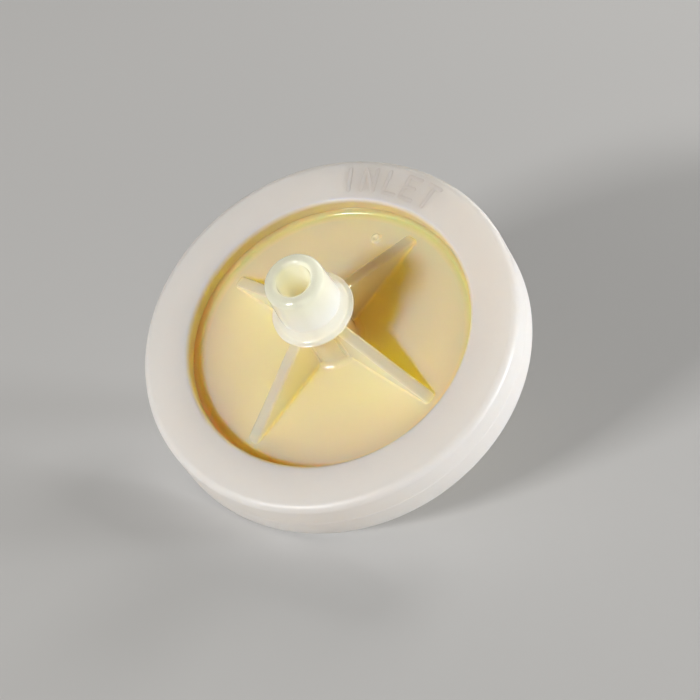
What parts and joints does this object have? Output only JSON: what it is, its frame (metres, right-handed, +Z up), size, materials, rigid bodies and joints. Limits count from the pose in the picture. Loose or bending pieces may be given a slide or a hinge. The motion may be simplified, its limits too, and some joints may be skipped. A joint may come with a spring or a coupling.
{
  "type": "syringe filter",
  "caption": "Round in-line disc filter: cream translucent plates inside a white overmoulded sealing ring, with a hollow stepped hose nipple and sloping gussets on each side.",
  "frame": {"origin": "on the floor under the middle of the filter as it lies, which is the centre of the bounding box seen from above", "axes": "+Z up; the filter leans on its ring and its outlet nipple, with the inlet nipple pointing up, towards -Y and a little towards -X, and the outlet nipple pointing down, towards +Y and a little towards +X"},
  "size_m": [0.0498, 0.047, 0.0335],
  "materials": {
    "housing": "translucent cream-yellow moulded plastic, softly glossy",
    "ring": "opaque warm white moulded plastic, satin",
    "membrane": "thin white porous sheet, matte"
  },
  "bodies": {
    "root": {"inlet_housing": "housing", "outlet_housing": "housing", "filter_membrane": "membrane", "sealing_ring": "ring"}
  },
  "joints": []
}
